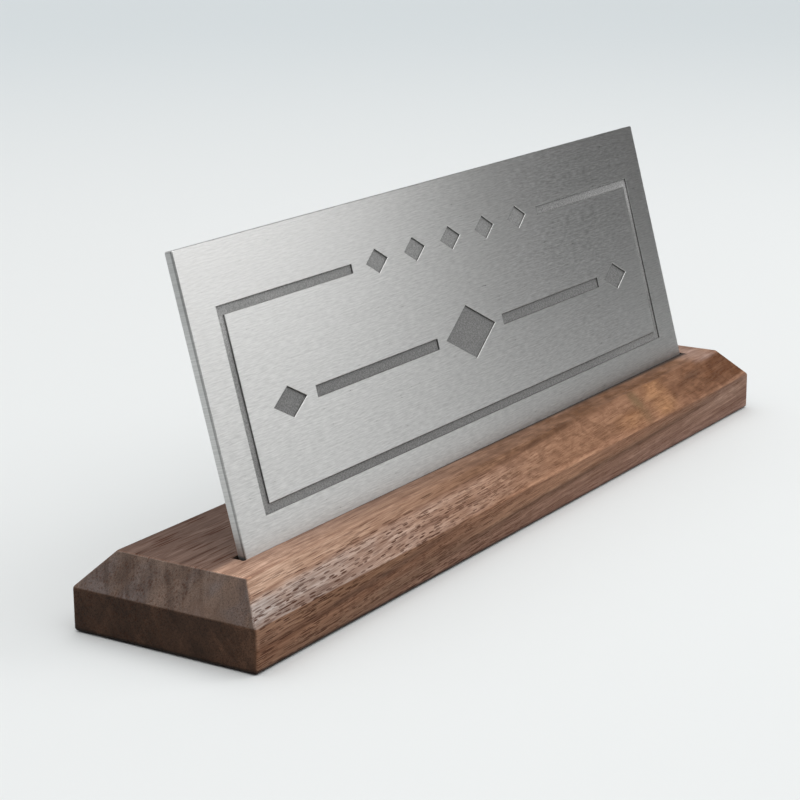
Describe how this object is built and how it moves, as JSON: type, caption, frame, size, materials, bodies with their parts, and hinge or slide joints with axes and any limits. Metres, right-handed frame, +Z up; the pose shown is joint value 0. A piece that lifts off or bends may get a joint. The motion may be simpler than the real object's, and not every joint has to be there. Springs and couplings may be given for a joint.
{
  "type": "desk name plate",
  "caption": "Brushed steel name plate with an engraved border, leaning back in the slot of a bevelled walnut block that stands on small pads let into its underside.",
  "frame": {"origin": "on the desk, under the middle of the block", "axes": "+X along the block to the right of someone facing the plate, +Y from front to back, +Z up"},
  "size_m": [0.2894, 0.0582, 0.0982],
  "materials": {
    "walnut": "oiled walnut with open pores, satin",
    "brushed_plate": "brushed along the plate, with a matte grey engraved floor",
    "pad_rubber": "matte black"
  },
  "bodies": {
    "base": {"walnut_base": "walnut", "front_left_pad": "pad_rubber", "front_right_pad": "pad_rubber", "rear_left_pad": "pad_rubber", "rear_right_pad": "pad_rubber"},
    "plate": {"steel_plate": "brushed_plate"}
  },
  "joints": [
    {"name": "plate_lift", "type": "slide", "parent": "base", "child": "plate", "axis": [0, 0.2588, 0.9659], "range_m": [0, 0.02]}
  ]
}
